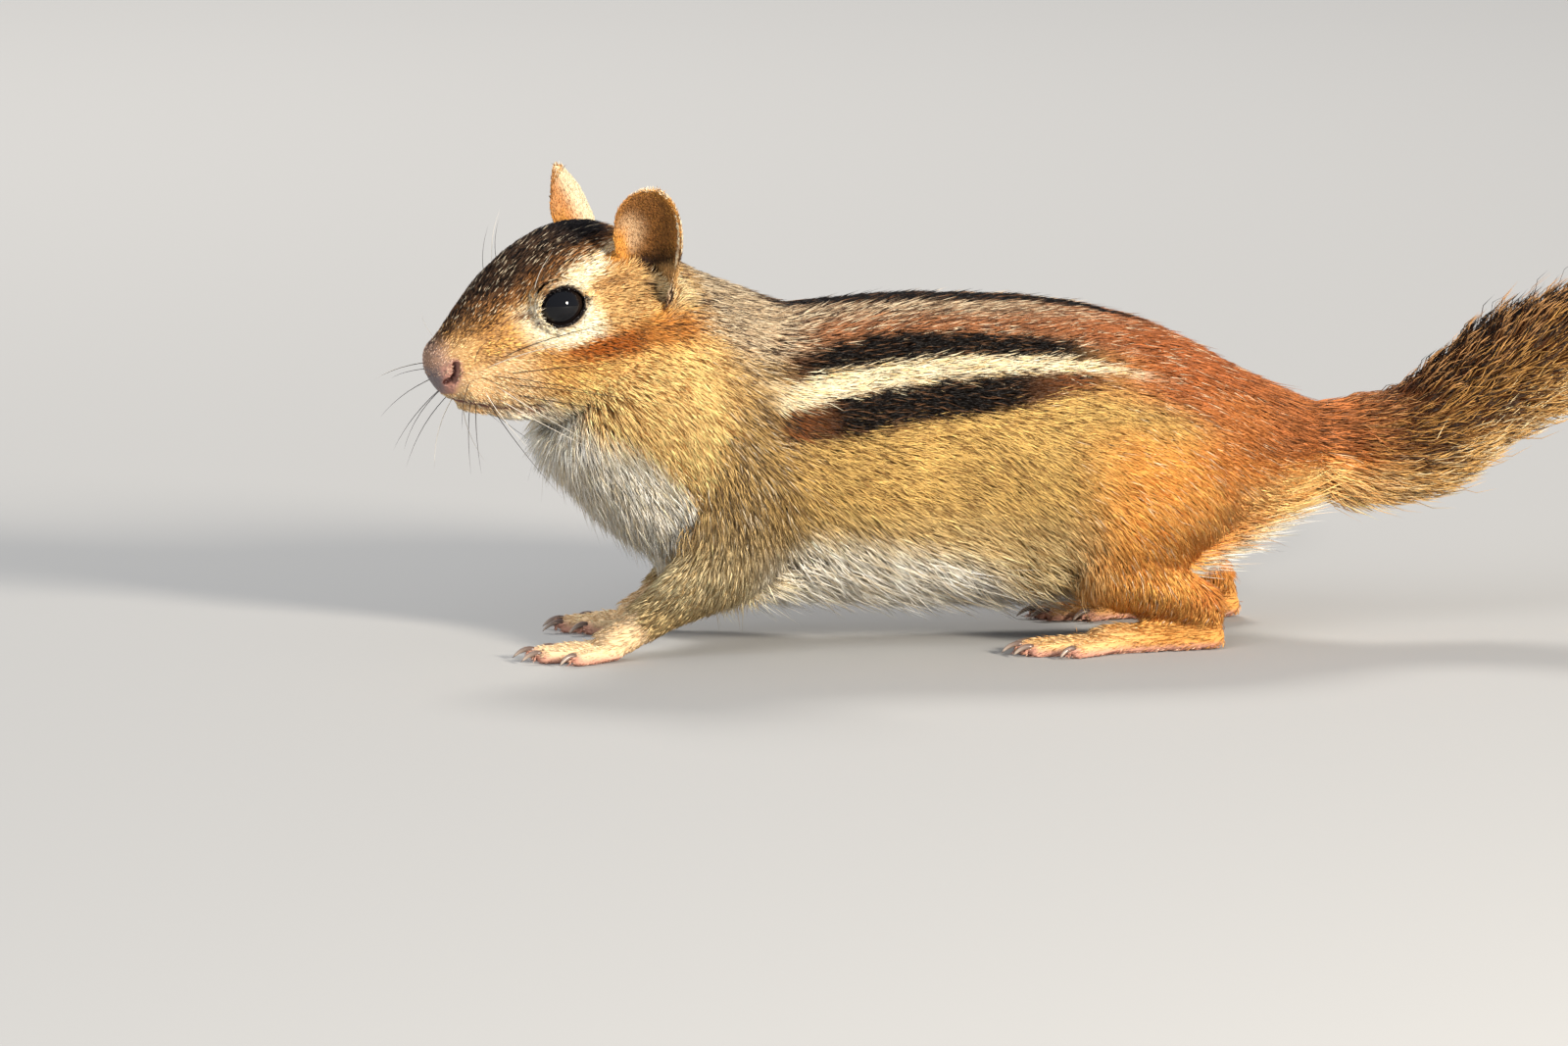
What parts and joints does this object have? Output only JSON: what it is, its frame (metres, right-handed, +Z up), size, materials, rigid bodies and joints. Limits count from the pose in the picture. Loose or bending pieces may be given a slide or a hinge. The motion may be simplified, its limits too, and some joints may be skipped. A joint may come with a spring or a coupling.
{
  "type": "chipmunk",
  "caption": "Life-size striped chipmunk standing low on all fours, head turned a little to its left, furry tail held out and up behind; a still display model.",
  "frame": {"origin": "on the floor under the feet, at the middle of the whole animal's length and width", "axes": "+X from the head towards the tail, +Y to the animal's right, +Z up"},
  "size_m": [0.214, 0.0496, 0.0696],
  "materials": {
    "head_coat": "short fur, grizzled brown with cream and rust stripes",
    "shoulder_coat": "dense fur, grizzled buff",
    "body_coat": "dense fur with black and cream stripes along the back",
    "thigh_coat": "dense fur, orange-brown",
    "tail_coat": "longer fur, black and tan with pale tips",
    "feet": "very short buff fur with dark claws",
    "ears": "thin skin with very short fur",
    "eyes": "wet, black"
  },
  "bodies": {
    "root": {"head": "head_coat", "neck": "shoulder_coat", "torso": "body_coat", "tail_base": "tail_coat", "tail_middle": "tail_coat", "tail_tip": "tail_coat", "front_leg_left": "shoulder_coat", "front_leg_right": "shoulder_coat", "front_foot_left": "feet", "front_foot_right": "feet", "hind_leg_left": "thigh_coat", "hind_leg_right": "thigh_coat", "hind_foot_left": "feet", "hind_foot_right": "feet", "ear_left": "ears", "ear_right": "ears", "eye_left": "eyes", "eye_right": "eyes"}
  },
  "joints": []
}
